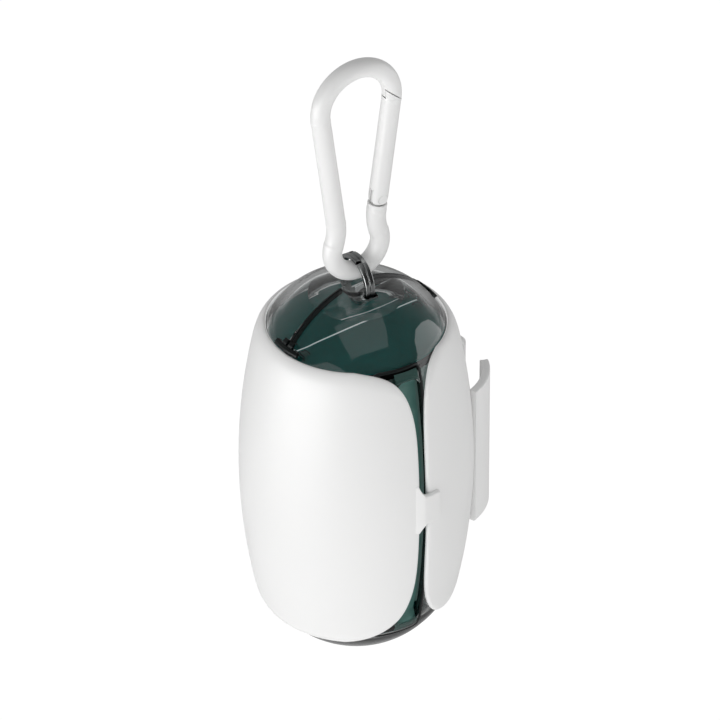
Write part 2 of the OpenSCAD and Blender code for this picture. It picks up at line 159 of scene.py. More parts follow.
class Build:
    """Collects grids of points into one mesh."""

    def __init__(self):
        self.p, self.n, self.f, self.count = [], [], [], 0

    def grid(self, p, n=None, flip=False, wrap_u=False, wrap_v=False):
        """p is (rows, columns, 3). Normals come from n, or from the grid itself."""
        rows, cols = p.shape[:2]
        if n is None:
            n = grid_normals(p, wrap_u, wrap_v)
            if flip:
                n = -n
        base = self.count
        i = np.arange(rows if wrap_v else rows - 1)
        j = np.arange(cols if wrap_u else cols - 1)
        ii, jj = np.meshgrid(i, j, indexing="ij")
        i2, j2 = (ii + 1) % rows, (jj + 1) % cols
        quads = np.stack([ii * cols + jj, ii * cols + j2, i2 * cols + j2, i2 * cols + jj], -1)
        quads = quads.reshape(-1, 4) + base
        if flip:
            quads = quads[:, ::-1]
        self.p.append(p.reshape(-1, 3))
        self.n.append(n.reshape(-1, 3))
        self.f += quads.tolist()
        self.count += rows * cols
        return self

    def turn_over(self, faces):
        """Turns the last grid's normals round, and this many of the last faces."""
        self.n[-1] = -self.n[-1]
        if faces:
            self.f[-faces:] = [f[::-1] for f in self.f[-faces:]]

    def fan(self, ring, normal, flip=False):
        """Flat cap over a closed ring of points."""
        c = ring.mean(0)
        k = len(ring)
        base = self.count
        pts = np.vstack([ring, c[None]])
        self.p.append(pts)
        self.n.append(np.tile(np.asarray(normal, float), (k + 1, 1)))
        for a in range(k):
            f = [base + a, base + (a + 1) % k, base + k]
            self.f.append(f[::-1] if flip else f)
        self.count += k + 1
        return self

    def make(self, name, material, body, replaces=()):
        """Mesh object that rides this body, with its own normals."""
        p = np.vstack(self.p)
        n = np.vstack(self.n)
        n = n / np.maximum(np.linalg.norm(n, axis=1, keepdims=True), 1e-9)
        me = bpy.data.meshes.new(name)
        me.from_pydata(metres(p).tolist(), [], self.f)
        me.validate()
        me.polygons.foreach_set("use_smooth", [True] * len(me.polygons))
        if len(me.vertices) == len(n):
            me.normals_split_custom_set_from_vertices(n.tolist())
        me.update()
        ob = put(name, me)
        me.materials.append(material)
        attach(ob, body)
        if replaces:
            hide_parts(*replaces)
        return ob


def grid_normals(p, wrap_u, wrap_v):
    """Normals of a grid of points, from its own slopes."""

    def diff(a, axis, wrap):
        if wrap:
            return np.roll(a, -1, axis) - np.roll(a, 1, axis)
        return np.gradient(a, axis=axis)

    n = np.cross(diff(p, 1, wrap_u), diff(p, 0, wrap_v))
    return n / np.maximum(np.linalg.norm(n, axis=-1, keepdims=True), 1e-12)


def smooth_line(points, count, sigma):
    """Even resampling of a polyline, smoothed along its length, ends kept."""
    q = np.array(points, float)
    d = np.r_[0, np.cumsum(np.linalg.norm(np.diff(q, axis=0), axis=1))]
    m = 1200
    u = np.linspace(0, d[-1], m)
    r = np.stack([np.interp(u, d, q[:, k]) for k in range(q.shape[1])], -1)
    h = max(1, int(sigma / d[-1] * m))
    if h > 1:
        w = np.hanning(4 * h + 1)
        w /= w.sum()
        pad = 2 * h
        e = np.vstack([2 * r[0] - r[pad:0:-1], r, 2 * r[-1] - r[-2 : -pad - 2 : -1]])
        r = np.stack([np.convolve(e[:, k], w, "valid") for k in range(q.shape[1])], -1)
    d = np.r_[0, np.cumsum(np.linalg.norm(np.diff(r, axis=0), axis=1))]
    u = np.linspace(0, d[-1], count)
    return np.stack([np.interp(u, d, r[:, k]) for k in range(q.shape[1])], -1)


def coons(bottom, top, left, right):
    """Surface patch in the plane between four sides. bottom and top run along u, left and right along v."""
    u = np.linspace(0, 1, len(bottom))[None, :, None]
    v = np.linspace(0, 1, len(left))[:, None, None]
    b, t, l, r = bottom[None], top[None], left[:, None], right[:, None]
    lin = (1 - v) * b + v * t + (1 - u) * l + u * r
    bil = (1 - u) * (1 - v) * bottom[0] + u * (1 - v) * bottom[-1]
    bil = bil + (1 - u) * v * top[0] + u * v * top[-1]
    return lin - bil


# ---------------------------------------------------------------- materials
def wire(nt, to, inputs):
    """Sets inputs of a node to values, or links the outputs that feed them."""
    for key, value in inputs.items():
        if isinstance(value, bpy.types.NodeSocket):
            nt.links.new(value, to.inputs[key])
        else:
            to.inputs[key].default_value = value


def add(nt, kind, inputs=None, **settings):
    """New shader node with these inputs, by name or number."""
    made = nt.nodes.new("ShaderNode" + kind)
    for key, value in settings.items():
        setattr(made, key, value)
    wire(nt, made, inputs or {})
    return made


def mapped(nt, value, low, high, start=0.0, end=1.0):
    """Takes a value that runs from start to end to one from low to high."""
    inputs = {"Value": value, "From Min": start, "From Max": end, "To Min": low, "To Max": high}
    return add(nt, "MapRange", inputs).outputs["Result"]


def noise(nt, scale, detail):
    place = add(nt, "TexCoord").outputs["Object"]
    return add(nt, "TexNoise", {"Vector": place, "Scale": scale, "Detail": detail}).outputs["Fac"]


def either(nt, a, b):
    """The larger of two values."""
    return add(nt, "Math", {0: a, 1: b}, operation="MAXIMUM").outputs["Value"]


def blend(nt, share, first, second):
    return add(nt, "MixShader", {"Fac": share, 1: first, 2: second}).outputs["Shader"]


def new_material(name, empty=False):
    """New material and its nodes, of which an empty one keeps none."""
    m = bpy.data.materials.new(name)
    m.use_nodes = True
    if empty:
        m.node_tree.nodes.clear()
    return m, m.node_tree


def material(
    name,
    colour,
    rough,
    metal=0.0,
    grain=0.0,
    grain_scale=2500.0,
    mottle=0.0,
    rough_var=0.06,
    specular=0.5,
):
    """Solid finish with a fine grain in bump, and slow changes of roughness and tone."""
    m, nt = new_material(name)
    slow = noise(nt, 90.0, 6.0)
    look = {
        "Metallic": metal,
        "Specular IOR Level": specular,
        "Roughness": mapped(nt, slow, max(0.02, rough - rough_var), min(1.0, rough + rough_var), 0.3, 0.7),
        "Base Color": (*colour, 1),
    }
    if mottle:
        tones = {
            "A": (*[c * (1 - mottle) for c in colour], 1),
            "B": (*[min(1, c * (1 + mottle)) for c in colour], 1),
            "Factor": slow,
        }
        look["Base Color"] = add(nt, "Mix", tones, data_type="RGBA").outputs["Result"]
    if grain:
        height = noise(nt, grain_scale, 3.0)
        bump = add(nt, "Bump", {"Strength": grain, "Distance": 0.00005, "Height": height})
        look["Normal"] = bump.outputs["Normal"]
    wire(nt, nt.nodes["Principled BSDF"], look)
    return m


# painted shade: how much of the tint is left, by how far a wall is turned from the eye, and where it is
# turned fully away
EDGE_SHADE_STOPS = ((0.58, 0.97), (0.68, 0.06), (0.80, 0.06), (0.90, 0.6))
EDGE_SHADE_LAST = 0.6


def glass_material(name, tint, smoke, density, ior=1.49, rough=0.012):
    """Smoked plastic that bends what is behind it and darkens with depth, with a faintly uneven skin and
    painted shade towards the edges of its upright walls.
    """
    m, nt = new_material(name)
    slow = noise(nt, 120.0, 5.0)
    edge = add(nt, "ValToRGB", {"Fac": add(nt, "LayerWeight").outputs["Facing"]})
    stops = edge.color_ramp.elements
    stops[0].color = (*tint, 1)
    for at, share in EDGE_SHADE_STOPS:
        stops.new(at).color = (*(share * c for c in tint), 1)
    stops[-1].color = (*(EDGE_SHADE_LAST * c for c in tint), 1)
    # the painted edge shade falls only on walls that stand upright, and the domes' tops keep the plain tint
    axes = add(nt, "SeparateXYZ", {0: add(nt, "NewGeometry").outputs["Normal"]})
    level = add(nt, "Math", {0: axes.outputs["Z"]}, operation="ABSOLUTE").outputs["Value"]
    upright = mapped(nt, level, 0.0, 1.0, 0.80, 0.62)
    # 6 and 7 are the mix's two colours, and output 2 is its colour
    shade = add(nt, "Mix", {"Factor": upright, 6: (*tint, 1), 7: edge.outputs["Color"]}, data_type="RGBA")
    look = {
        "Base Color": shade.outputs[2],
        "Transmission Weight": 1.0,
        "IOR": ior,
        "Roughness": mapped(nt, slow, rough, rough * 3),
    }
    wire(nt, nt.nodes["Principled BSDF"], look)
    soak = add(nt, "VolumeAbsorption", {"Color": (*smoke, 1), "Density": density})
    wire(nt, nt.nodes["Material Output"], {"Volume": soak.outputs["Volume"]})
    return m


def glow(m, colour, strength):
    """Makes a material give off light of its own."""
    look = {"Emission Color": (*colour, 1), "Emission Strength": strength}
    wire(m.node_tree, m.node_tree.nodes["Principled BSDF"], look)


def paint_inner_glow(m, amount):
    """Painted glow on the soft wall's inner face, which looks at the Z axis: emission that stands in for
    light soaking through the wall.
    """
    nt = m.node_tree
    place = add(nt, "TexCoord").outputs["Object"]
    flat = add(nt, "VectorMath", {0: place, 1: (1, 1, 0)}, operation="MULTIPLY")
    away = add(nt, "VectorMath", {0: flat.outputs["Vector"]}, operation="NORMALIZE")
    facing = {0: away.outputs["Vector"], 1: add(nt, "NewGeometry").outputs["Normal"]}
    out = add(nt, "VectorMath", facing, operation="DOT_PRODUCT").outputs["Value"]
    glow(m, (1, 1, 1), mapped(nt, out, 0.0, amount, -0.3, -0.6))


WHITE = (0.87, 0.87, 0.865)
SOFT = {"grain": 0.25, "grain_scale": 3500, "rough_var": 0.05}
# the sleeve's silicone; a painted glow is added to its inner face below
GLOWING_SILICONE = material("silicone_white_painted_glow", WHITE, 0.48, **SOFT)
# the same silicone without that painted glow, for the tab and the flaps
PLAIN_SILICONE = material("silicone_white_plain", WHITE, 0.48, **SOFT)
POWDER = material("powder_white", WHITE, 0.38, grain=0.3, grain_scale=2200, specular=0.4)
STEEL = material("steel_plain", (0.55, 0.56, 0.57), 0.3, metal=1.0, grain=0.1)
DARK_NICKEL = material(
    "dark_nickel", (0.30, 0.31, 0.31), 0.2, metal=1.0, grain=0.15, grain_scale=1500, mottle=0.1
)
SMOKE = glass_material("smoked_plastic", (0.95, 0.96, 0.96), (0.0, 0.05, 0.04), 50.0)
TEAL = material("bag_film", (0.08, 0.20, 0.175), 0.35, grain=0.4, grain_scale=500, mottle=0.2)
SHELF = material("smoked_shelf", (0.02, 0.20, 0.185), 0.4, grain=0.05, mottle=0.05, specular=0.1)
# black for the catches, and painted shade on the capsule's joint and the window's cut edge
DARK_PARTS_AND_SHADE = material("seam_shadow", (0.004, 0.007, 0.007), 0.35, grain=0.05, specular=0.3)
# painted highlight for the shelf's edge line: a light grey colour, made to glow below
GLOWING_LIP = material("painted_highlight_edge", (0.42, 0.48, 0.48), 0.25)
CARD = material("core_card", (0.50, 0.38, 0.25), 0.8, grain=0.6, grain_scale=900, mottle=0.15)
# painted highlight: the shelf's edge gives off light of its own
glow(GLOWING_LIP, (0.85, 1, 1), 0.35)
# painted glow on the sleeve's inner face, standing in for light through the wall
paint_inner_glow(GLOWING_SILICONE, 0.45)

for node, m in {
    "carabiner_body": POWDER,
    "carabiner_gate": POWDER,
    "gate_rivet": POWDER,
    "gate_plunger": STEEL,
    "gate_spring": STEEL,
    "split_ring": DARK_NICKEL,
    "front_shell": SMOKE,
    "rear_shell": SMOKE,
    "bag_roll": TEAL,
    "roll_core": CARD,
}.items():
    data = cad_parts[node].data
    data.materials.clear()
    data.materials.append(m)

# ---------------------------------------------------------------- the sleeve
# the panels are laid out in a plane of azimuth times SCALE_A against length along the capsule
SCALE_A = 24.0
RIM_S = float(arc_at(SLEEVE_HALF, (SLEEVE_IN + SLEEVE_OUT) / 2))
EDGE_SLOT, EDGE_RIM = 0.8, 3.0  # how far from its edge a panel starts to round over
TIP_SLOT, TIP_RIM = 0.65, 0.32  # how far outside the capsule the edge itself lies
FLARE_FROM, FLARE_OVER = 7.5, 6.5  # where the slot's edge turns into the rim's, from the rim
AT_RIM = 0.05  # an edge's points this near the rim's height lie on it
SKIN_CLEAR = 0.02

# the slot's two edges as (height, x)
LEFT_EDGE = [
    (35.2, -11.0), (34.95, -8.6), (34.4, -6.6), (33.2, -4.4), (31.6, -2.75), (29.2, -1.45), (26.2, -0.5),
    (22.5, 0.15), (18, 0.4), (12, 0.42), (6, 0.4), (0, 0.4), (-6, 0.4), (-12, 0.4), (-17, 0.3), (-21.5, -0.1),
    (-25.3, -1.0), (-28.3, -2.3), (-31.0, -4.4), (-33.2, -7.0), (-34.6, -9.6), (-35.2, -12.5),
]
RIGHT_EDGE = [
    (35.2, 9.6), (34.6, 7.2), (33.4, 5.9), (31.4, 4.75), (28.6, 3.75), (25.2, 3.05), (21.0, 2.6), (15, 2.3),
    (8, 2.25), (0, 2.3), (-8, 2.45), (-14, 2.5), (-18.5, 2.7), (-22.5, 3.1), (-25.5, 3.75), (-28.3, 4.9),
    (-30.8, 6.5), (-33, 8.9), (-34.6, 11.5), (-35.2, 14.0),
]


def to_plane(edge):
    """(height, x) points on the front of the sleeve's outside to the panels' plane."""
    e = np.array(edge, float)
    rim = np.abs(e[:, 0]) >= SLEEVE_HALF - AT_RIM
    s = np.where(rim, np.copysign(RIM_S, e[:, 0]), arc_at(e[:, 0], SLEEVE_OUT))
    rho = outline(s, SLEEVE_OUT)[0]
    return np.stack([-np.arccos(np.clip(e[:, 1] / rho, -1, 1)) * SCALE_A, s], -1)


def panel(name, low_a, high_a, slot_edge, slot_side, body, replaces, rows=110, cols=72):
    """One panel of the sleeve. slot_side is +1 with the slot at its high azimuth, -1 at its low, or 0."""
    if slot_side == 0:
        cb = np.stack([np.linspace(low_a, high_a, cols), np.full(cols, -RIM_S)], -1)
        ct = cb * [1, -1]
    else:
        e = smooth_line(to_plane(slot_edge)[::-1], 1200, 2.0)
        seam_a = low_a if slot_side > 0 else high_a
        whole = smooth_line(np.vstack([[[seam_a, -RIM_S]], e, [[seam_a, RIM_S]]]), 4000, 0.4)
        whole[0, 0] = whole[-1, 0] = seam_a
        # corners of the patch, in the middle of each flare
        d = np.gradient(whole, axis=0)
        turn = np.unwrap(np.arctan2(d[:, 1], d[:, 0]))
        half = len(whole) // 2
        goal_low, goal_high = (turn[0] + turn[half]) / 2, (turn[-1] + turn[half]) / 2
        i0 = int(np.argmin(np.abs(turn[:half] - goal_low)))
        i1 = half + int(np.argmin(np.abs(turn[half:] - goal_high)))
        cb = smooth_line(whole[: i0 + 1], cols, 0)
        cs = smooth_line(whole[i0 : i1 + 1], rows, 0)
        ct = smooth_line(whole[i1:][::-1], cols, 0)

    def inward(line, middle):
        """Unit vectors across a side, towards the panel's inside."""
        g = np.gradient(line, axis=0)
        n = np.stack([-g[:, 1], g[:, 0]], -1)
        n /= np.maximum(np.linalg.norm(n, axis=1, keepdims=True), 1e-9)
        return n * np.sign(np.median(((middle - line) * n).sum(1)))

    mid = np.array([(low_a + high_a) / 2, 0])
    if slot_side == 0:
        loops = [(cb, inward(cb, mid)), (ct[::-1], inward(ct[::-1], mid))]
    else:
        path = np.vstack([cb, cs[1:], ct[::-1][1:]])
        loops = [(path, inward(path, mid))]

    def near_rim(line):
        """0 at the slot, 1 at a rim and smooth between, for each point of a side."""
        return ease((np.abs(line[:, 1]) - (RIM_S - FLARE_FROM)) / FLARE_OVER)[:, None]

    def shrink(line, key):
        """A side moved in to where its round edge starts."""
        return line + (EDGE_SLOT + (EDGE_RIM - EDGE_SLOT) * near_rim(line)) * key

    if slot_side == 0:
        kb, kt = loops[0][1], loops[1][1][::-1]
        ib, it = shrink(cb, kb), shrink(ct, kt)
        il = np.stack([np.full(rows, low_a), np.linspace(ib[0, 1], it[0, 1], rows)], -1)
        ir = np.stack([np.full(rows, high_a), np.linspace(ib[-1, 1], it[-1, 1], rows)], -1)
    else:
        inner = shrink(*loops[0])
        nb, ns = len(cb), len(cs)
        ib = inner[:nb].copy()
        isd = inner[nb - 1 : nb + ns - 1].copy()
        it = inner[nb + ns - 2 :][::-1].copy()
        ib[0, 0] = it[0, 0] = seam_a
        seam_line = np.stack([np.full(rows, seam_a), np.linspace(ib[0, 1], it[0, 1], rows)], -1)
        if slot_side > 0:
            il, ir = seam_line, isd
        else:
            ib, it = ib[::-1], it[::-1]
            il, ir = isd, seam_line
    plane = coons(ib, it, il, ir)
    b = Build()
    th, ss = plane[..., 0] / SCALE_A, plane[..., 1]
    p, n = on_capsule(th, ss, SLEEVE_OUT)
    b.grid(p, n)
    p, n = on_capsule(th, ss, SLEEVE_IN)
    b.grid(p, -n, flip=True)
    for line, key in loops:
        w = near_rim(line)[:, 0][None]
        reach = EDGE_SLOT + (EDGE_RIM - EDGE_SLOT) * w
        tip = TIP_SLOT + (TIP_RIM - TIP_SLOT) * w
        low = tip - SLEEVE_IN
        a1 = np.linspace(0, math.pi / 2, 15)[:, None]
        a2 = np.linspace(math.pi / 2, math.pi, 9)[1:, None]
        inside = np.full_like(reach, SLEEVE_IN)
        d = np.vstack([reach * (1 - np.sin(a1)), np.minimum(low, 0.9 * reach) * (1 - np.sin(a2)), reach])
        t = np.vstack([tip + (SLEEVE_OUT - tip) * np.cos(a1), tip + low * np.cos(a2), inside])
        q = line[None] + d[..., None] * key[None]
        if slot_side != 0:
            q[:, 0, 0] = q[:, -1, 0] = seam_a
        p, n = on_capsule(q[..., 0] / SCALE_A, q[..., 1], t)
        steps = len(d)
        b.grid(p, flip=True)
        strip = b.n[-1].reshape(steps, -1, 3)
        out_n = on_capsule(line[:, 0] / SCALE_A, line[:, 1], np.full(len(line), SLEEVE_OUT))[1]
        if (strip[3] * out_n).sum() < 0:
            b.turn_over((steps - 1) * (len(line) - 1))
        strip = b.n[-1].reshape(steps, -1, 3)
        strip[0] = n[0]
        strip[-1] = strip[-2] = -n[-1]
        b.n[-1] = strip.reshape(-1, 3)
    # plain faces where the panel meets its neighbour at the seam
    for a, sign in ((low_a, -1), (high_a, 1)):
        if slot_side == 0 or a == seam_a:
            s_line = np.linspace(-RIM_S + 0.05, RIM_S - 0.05, 120)
            d = RIM_S - np.abs(s_line)
            rise = np.sqrt(np.clip(1 - (1 - d / EDGE_RIM).clip(0) ** 2, 0, 1))
            up = TIP_RIM + (SLEEVE_OUT - TIP_RIM) * rise
            # the face stays this far inside the panel's two skins
            low, thick = SLEEVE_IN + SKIN_CLEAR, up - SLEEVE_IN - 2 * SKIN_CLEAR
            th = np.full(120, a / SCALE_A)
            g = np.stack([on_capsule(th, s_line, low + thick * f)[0] for f in (0, 0.5, 1)])
            tangent = np.array([-math.sin(a / SCALE_A), math.cos(a / SCALE_A), 0]) * sign
            b.grid(g, np.broadcast_to(tangent, g.shape).copy(), flip=(sign < 0))
    return b.make(name, GLOWING_SILICONE, body, replaces)


SEAM_TURN = SEAM_Y / (CASE_R + SLEEVE_OUT)
SEAM_LEFT, SEAM_RIGHT = -(math.pi + SEAM_TURN) * SCALE_A, SEAM_TURN * SCALE_A
REAR_END = (math.pi - SEAM_TURN) * SCALE_A
panel("sleeve_front", SEAM_LEFT, 0, LEFT_EDGE, +1, "front_half", ["sleeve_front_panel"])
panel("sleeve_side", 0, SEAM_RIGHT, RIGHT_EDGE, -1, "front_half", ["sleeve_side_panel"])
panel("sleeve_rear", SEAM_RIGHT, REAR_END, None, 0, "rear_half", ["sleeve_rear_panel"], cols=96)


# ---------------------------------------------------------------- the closing tab
TAB_LEFT, TAB_RIGHT, TAB_TOP, TAB_BOTTOM, TAB_T = -1.8, 5.35, 4.4, -3.0, 0.9
TAB_SINK, TAB_RISE, TAB_RAMP = 0.25, 1.1, 3.2  # how deep it starts, how far it rises and over what length
SLOT_LEFT = 0.4
TOP_FLARE, BOTTOM_FLARE = 1.9, 1.6  # reach of the fillets at its root
TAB_TIP, TAB_EDGE_R = 0.9, 0.45
TAB_AT_EDGE, TAB_LEAST = 0.02, 0.05  # what counts as its very edge, and its least thickness


def closing_tab():
    """A tongue that leaves the front panel's surface, bridges the slot and lies over the side panel."""
    cols, rows = 60, 40
    xs = np.linspace(TAB_LEFT, TAB_RIGHT, cols)
    lift = -TAB_SINK + ease((xs - TAB_LEFT) / TAB_RAMP) * TAB_RISE
    # upper and lower edge of the tongue along x
    high = TAB_TOP + 1.5 * np.clip((SLOT_LEFT + TOP_FLARE - xs) / TOP_FLARE, 0, 1.25) ** 3.0
    low = TAB_BOTTOM - 1.5 * np.clip((SLOT_LEFT + BOTTOM_FLARE - xs) / BOTTOM_FLARE, 0, 1.25) ** 2.0
    tip = np.clip((xs - (TAB_RIGHT - TAB_TIP)) / TAB_TIP, 0, 1)
    shrink = TAB_TIP * (1 - np.sqrt(np.clip(1 - tip**2, 0, 1)))
    high, low = high - shrink, low + shrink
    v = np.linspace(0, 1, rows)[:, None]
    z = low[None] * (1 - v) + high[None] * v
    x = np.broadcast_to(xs[None], z.shape)
    # rounding near the free edges
    d = np.minimum(np.minimum(z - low[None], high[None] - z), TAB_RIGHT - x)
    r = TAB_EDGE_R
    fall = np.where(d < r, r - np.sqrt(np.clip(r * r - (r - d) ** 2, 0, None)), 0)
    top_t = SLEEVE_OUT + lift[None] - fall
    under_t = np.where(d < TAB_AT_EDGE, top_t - r, SLEEVE_OUT + lift[None] - TAB_T)

    def place(xx, zz, tt):
        s = arc_at(zz, SLEEVE_OUT)
        rho, zz2, _ = outline(s, tt)
        th = -np.arccos(np.clip(xx / rho, -1, 1))
        return np.stack([rho * np.cos(th), rho * np.sin(th), zz2], -1)

    b = Build()
    top = place(x, z, top_t)
    under = place(x, z, np.minimum(under_t, top_t - TAB_LEAST))
    b.grid(top)
    b.grid(under, flip=True)
    for side in (np.s_[0, :], np.s_[-1, :], np.s_[:, -1], np.s_[:, 0]):
        b.grid(np.stack([top[side], under[side]]))
    return b.make("closing_tongue", PLAIN_SILICONE, "tab", ["closure_tab"])


closing_tab()


# ---------------------------------------------------------------- the leash channel's flaps
FLAP_EDGE_R, FLAP_CORNER_R = 0.35, 2.2
ROOT_CLEAR = 0.02  # radians between the flap's root and the bead it grows from


def flap(name, side, body, node):
    """Curved flap, round at its free end, with soft upper and lower edges and rounded free corners."""
    mid_r = CHANNEL_R - FLAP_T / 2
    half = FLAP_T / 2
    free = math.asin((MOUTH_W / 2 + half) / mid_r)
    bead_away = CASE_R + SLEEVE_IN + BEAD_R + BEAD_GAP
    bx = (bead_away**2 - mid_r**2 + CHANNEL_X**2) / (2 * CHANNEL_X)
    by = math.sqrt(bead_away**2 - bx**2)
    root = math.atan2(by, bx - CHANNEL_X)
    cols, rows, cap_count = 60, 60, 18
    ang = np.linspace(root + ROOT_CLEAR, free, cols)

    def arc(r):
        return np.array([[CHANNEL_X + r * math.cos(a), r * math.sin(a)] for a in ang])

    # section from above: the outer side, the round free end and the inner side back
    outer, inner = arc(mid_r + half), arc(mid_r - half)
    radial = np.array([math.cos(free), math.sin(free)])
    tang = np.array([math.sin(free), -math.cos(free)])
    cap_c = np.array([CHANNEL_X, 0]) + mid_r * radial
    turns = np.linspace(0, math.pi, cap_count)[1:-1]
    cap = np.array([cap_c + half * (math.cos(w) * radial + math.sin(w) * tang) for w in turns])
    loop = np.vstack([outer, cap, inner[::-1]])
    middle = 0.5 * (outer + inner)
    to_mid = np.vstack([middle, np.tile(cap_c, (len(cap), 1)), middle[::-1]]) - loop
    # the section shrinks to its middle line to round the upper and lower edges
    levels = []
    for z in FLAP_HALF * np.sin(np.linspace(-math.pi / 2, math.pi / 2, rows)):
        d = FLAP_HALF - abs(z)
        f = 0.0 if d >= FLAP_EDGE_R else 1 - math.sqrt(max(0.0, 1 - (1 - d / FLAP_EDGE_R) ** 2))
        levels.append(np.column_stack([loop + to_mid * f, np.full(len(loop), z)]))
    g = np.stack(levels)
    # round the free corners: near the free end the height falls off
    dist = np.linalg.norm(g[..., :2] - (cap_c + tang * half), axis=-1)
    fall = np.sqrt(np.clip(1 - (1 - dist / FLAP_CORNER_R) ** 2, 0, 1))
    keep = np.where(dist < FLAP_CORNER_R, fall, 1.0)
    g[..., 2] *= 1 - (1 - keep) * FLAP_CORNER_R / FLAP_HALF
    g[..., 1] *= side
    b = Build()
    b.grid(g, flip=(side > 0), wrap_u=True)
    outward = np.array([math.cos(ang[5]), side * math.sin(ang[5]), 0])
    if (b.n[0].reshape(g.shape)[rows // 2, 5] * outward).sum() < 0:
        b.turn_over(0)
    return b.make(name, PLAIN_SILICONE, body, [node])


flap("flap_front_skin", -1, "flap_front", "leash_flap_front")
flap("flap_rear_skin", 1, "flap_rear", "leash_flap_rear")


# ---------------------------------------------------------------- split ring
COIL_GAP, COIL_ROUND = 0.03, 0.18  # half the groove between the coils, round of their edges
BUTT_GAP = 0.35  # half the gap where a coil's two ends meet


def split_ring():
    """Two flat coils side by side with rounded edges, a narrow groove between them and a butt end on each."""
    b = Build()
    mid = RING_IN_R + RING_T / 2
    r = COIL_ROUND
    ex, ey = RING_T / 2 - r, RING_W / 4 - COIL_GAP - r
    sec = []
    for cx, cy, start in ((ex, ey, 0), (-ex, ey, 90), (-ex, -ey, 180), (ex, -ey, 270)):
        for a in np.radians(np.linspace(start, start + 90, 6)):
            sec.append((cx + r * math.cos(a), cy + r * math.sin(a)))
    sec = np.array(sec)
    gap = math.degrees(BUTT_GAP / mid)
    for x, start in ((RING_W / 4, -25.0), (-RING_W / 4, 20.0)):
        ang = np.radians(np.linspace(start + 90 + gap, start + 90 + 360 - gap, 160))
        c, s = np.cos(ang)[:, None], np.sin(ang)[:, None]
        y, z = (mid + sec[:, 0]) * c, RING_Z + (mid + sec[:, 0]) * s
        g = np.stack([np.broadcast_to(x + sec[:, 1], y.shape), y, z], -1)
        b.grid(g, wrap_u=True)
        middle = np.stack([np.full(c.shape, x), mid * c, RING_Z + mid * s], -1)
        if (b.n[-1].reshape(g.shape) * (g - middle)).sum() < 0:
            b.turn_over((len(ang) - 1) * len(sec))
        for e, sign in ((0, -1), (-1, 1)):
            t = np.array([0, -math.sin(ang[e]), math.cos(ang[e])]) * sign
            b.fan(g[e], t, flip=(sign < 0))
    return b.make("split_ring_coils", DARK_NICKEL, "ring", ["split_ring"])


split_ring()


# ---------------------------------------------------------------- the bag roll
FILM_STEP, FILM_EDGE = 0.18, 0.25  # the loose end's step, and the round of the roll's rims
LAYERS, LAYER_STEP = 46, 0.06  # layers that show on an end, and how far they stand in and out


def film_roll():
    """Wound film: layers on the ends, faint wrinkles round the side, and a step at the loose end."""
    b = Build()
    ang = np.linspace(0, 2 * math.pi, 181)[:-1]
    zs = np.linspace(-FILM_HALF + FILM_EDGE, FILM_HALF - FILM_EDGE, 40)
    zs = np.r_[-FILM_HALF, zs, FILM_HALF]
    lump = 0.05 * np.sin(5 * ang)[None] * np.sin(zs * 0.21)[:, None]
    lump = lump + 0.06 * np.sin(zs * 0.9 + 0.6)[:, None] * np.cos(3 * ang)[None]
    edge = np.zeros(len(zs))
    edge[[0, -1]] = FILM_EDGE
    step = FILM_STEP * (ang / (2 * math.pi))[None]
    rr = FILM_R - 0.2 + lump + step - edge[:, None]
    g = np.stack([rr * np.cos(ang), rr * np.sin(ang), np.broadcast_to(zs[:, None], rr.shape)], -1)
    b.grid(g, wrap_u=True)
    if (b.n[-1].reshape(g.shape)[20, :, :2] * g[20, :, :2]).sum() < 0:
        b.turn_over(len(b.f))
    layers = np.linspace(CORE_R + 0.05, FILM_R - 0.45, LAYERS)[:, None]
    for up in (1, -1):
        zz = FILM_HALF * up + LAYER_STEP * up * np.where(np.arange(LAYERS) % 2, 1, -1)
        x, y = layers * np.cos(ang), layers * np.sin(ang)
        ring = np.stack([x, y, np.broadcast_to(zz[:, None], x.shape)], -1)
        ring = np.concatenate([ring, g[-1:] if up > 0 else g[:1]])
        normals = np.broadcast_to([0.0, 0.0, up], ring.shape).copy()
        b.grid(ring, normals, wrap_u=True, flip=(up < 0))
    return b.make("film_roll", TEAL, "roll", ["bag_roll"])


film_roll()


# ---------------------------------------------------------------- the capsule's halves
WALL_NEAR, CHORD_NEAR = 0.09, 0.4  # a vertex this near a wall face lies on it, and so may a chord's middle
WALL_FACING = 0.85  # least agreement of a face's normal with the wall's


def wall_lines():
    """Outline of the capsule's outside and inside, flatter shoulder included, with normals."""
    s = np.linspace(-LEN_ALL, LEN_ALL, 8001)
    lines = []
    for t, sign in ((0.0, 1), (-WALL, -1)):
        r, z, _ = outline(s, t)
        z = z - shoulder_drop(r, z)
        g = np.gradient(np.stack([r, z], -1), axis=0)
        n = np.stack([g[:, 1], -g[:, 0]], -1) * sign
        lines.append((r, z, n / np.linalg.norm(n, axis=1, keepdims=True)))
    return lines


def nearest(line, r, z):
    """Index of the outline's point nearest to each (r, z), and how far away it is."""
    near = np.empty(len(r), int)
    far = np.empty(len(r))
    for a in range(0, len(r), 4000):
        lo = slice(a, a + 4000)
        d = (r[lo, None] - line[0][None, ::32]) ** 2 + (z[lo, None] - line[1][None, ::32]) ** 2
        k = d.argmin(1) * 32
        best = np.clip(k[:, None] + np.arange(-32, 33, 2)[None], 0, len(line[0]) - 1)
        d = (r[lo, None] - line[0][best]) ** 2 + (z[lo, None] - line[1][best]) ** 2
        j = d.argmin(1)
        near[lo] = best[np.arange(len(j)), j]
        far[lo] = np.sqrt(d.min(1))
    return near, far


